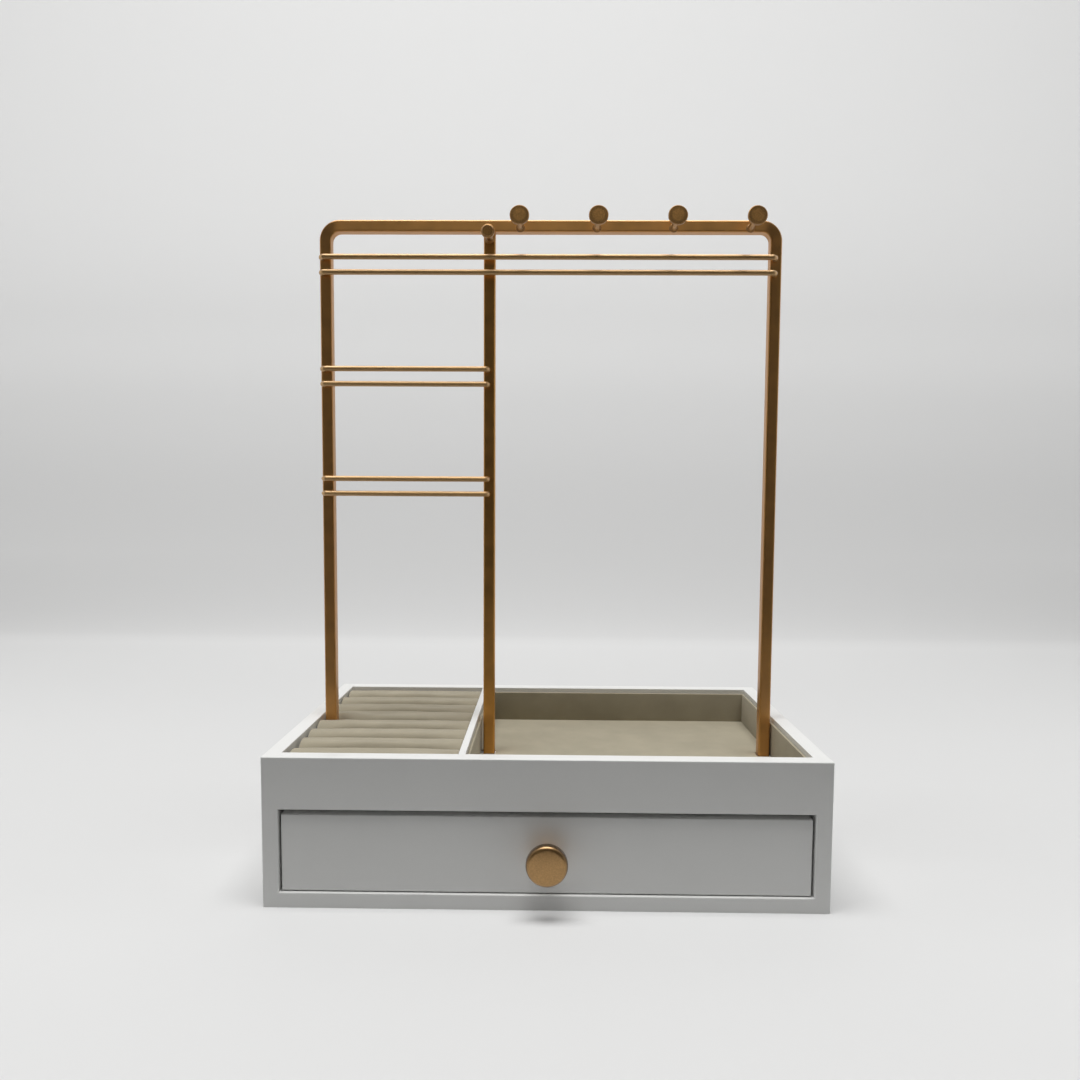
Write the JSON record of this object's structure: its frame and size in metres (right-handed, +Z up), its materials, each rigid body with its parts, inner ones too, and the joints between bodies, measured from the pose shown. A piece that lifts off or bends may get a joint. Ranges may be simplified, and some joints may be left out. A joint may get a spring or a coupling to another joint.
{
  "type": "jewelry stand with drawer",
  "caption": "White wooden jewelry box with an open velvet-lined tray, a roll pad for rings and an inset drawer, under a gilt tube rack with thin rods and mushroom pegs.",
  "frame": {"origin": "centre of the underside, on the surface the stand rests on", "axes": "+X to the right as seen from the drawer front, +Y to the back, +Z up; the drawer opens towards -Y"},
  "size_m": [0.26, 0.1654, 0.3352],
  "materials": {
    "white_paint": "satin white lacquer on fibreboard",
    "gilt_paint": "matt antique gold paint with a metallic sheen",
    "velvet_board": "short beige velvet on thin board",
    "ring_pad_velvet": "short beige velvet over foam rolls",
    "screw_steel": "zinc-plated steel"
  },
  "bodies": {
    "stand": {"back_panel": "white_paint", "bottom_panel": "white_paint", "bottom_rod_lower": "gilt_paint", "bottom_rod_upper": "gilt_paint", "centre_leg_insert": "screw_steel", "centre_peg_head": "gilt_paint", "centre_peg_stem": "gilt_paint", "centre_post": "gilt_paint", "divider": "white_paint", "front_rail": "white_paint", "hanger_frame": "gilt_paint", "left_leg_insert": "screw_steel", "left_side_panel": "white_paint", "leg_screws": "screw_steel", "leg_washers": "screw_steel", "middle_rod_lower": "gilt_paint", "middle_rod_upper": "gilt_paint", "peg_head_1": "gilt_paint", "peg_head_2": "gilt_paint", "peg_head_3": "gilt_paint", "peg_head_4": "gilt_paint", "peg_stem_1": "gilt_paint", "peg_stem_2": "gilt_paint", "peg_stem_3": "gilt_paint", "peg_stem_4": "gilt_paint", "right_leg_insert": "screw_steel", "right_side_panel": "white_paint", "ring_pad_board": "ring_pad_velvet", "ring_roll_1": "ring_pad_velvet", "ring_roll_2": "ring_pad_velvet", "ring_roll_3": "ring_pad_velvet", "ring_roll_4": "ring_pad_velvet", "ring_roll_5": "ring_pad_velvet", "ring_roll_6": "ring_pad_velvet", "ring_roll_7": "ring_pad_velvet", "ring_roll_8": "ring_pad_velvet", "shelf_panel": "white_paint", "top_rod_lower": "gilt_paint", "top_rod_upper": "gilt_paint", "tray_back_lining": "velvet_board", "tray_floor_lining": "velvet_board", "tray_front_lining": "velvet_board", "tray_left_lining": "velvet_board", "tray_right_lining": "velvet_board"},
    "drawer": {"drawer_front": "white_paint", "drawer_left_side": "white_paint", "drawer_right_side": "white_paint", "drawer_back": "white_paint", "drawer_floor": "white_paint", "drawer_pad": "velvet_board", "drawer_knob": "gilt_paint", "knob_screw": "screw_steel"}
  },
  "joints": [
    {"name": "drawer_slide", "type": "slide", "parent": "stand", "child": "drawer", "axis": [0, -1, 0], "range_m": [0, 0.11]}
  ]
}
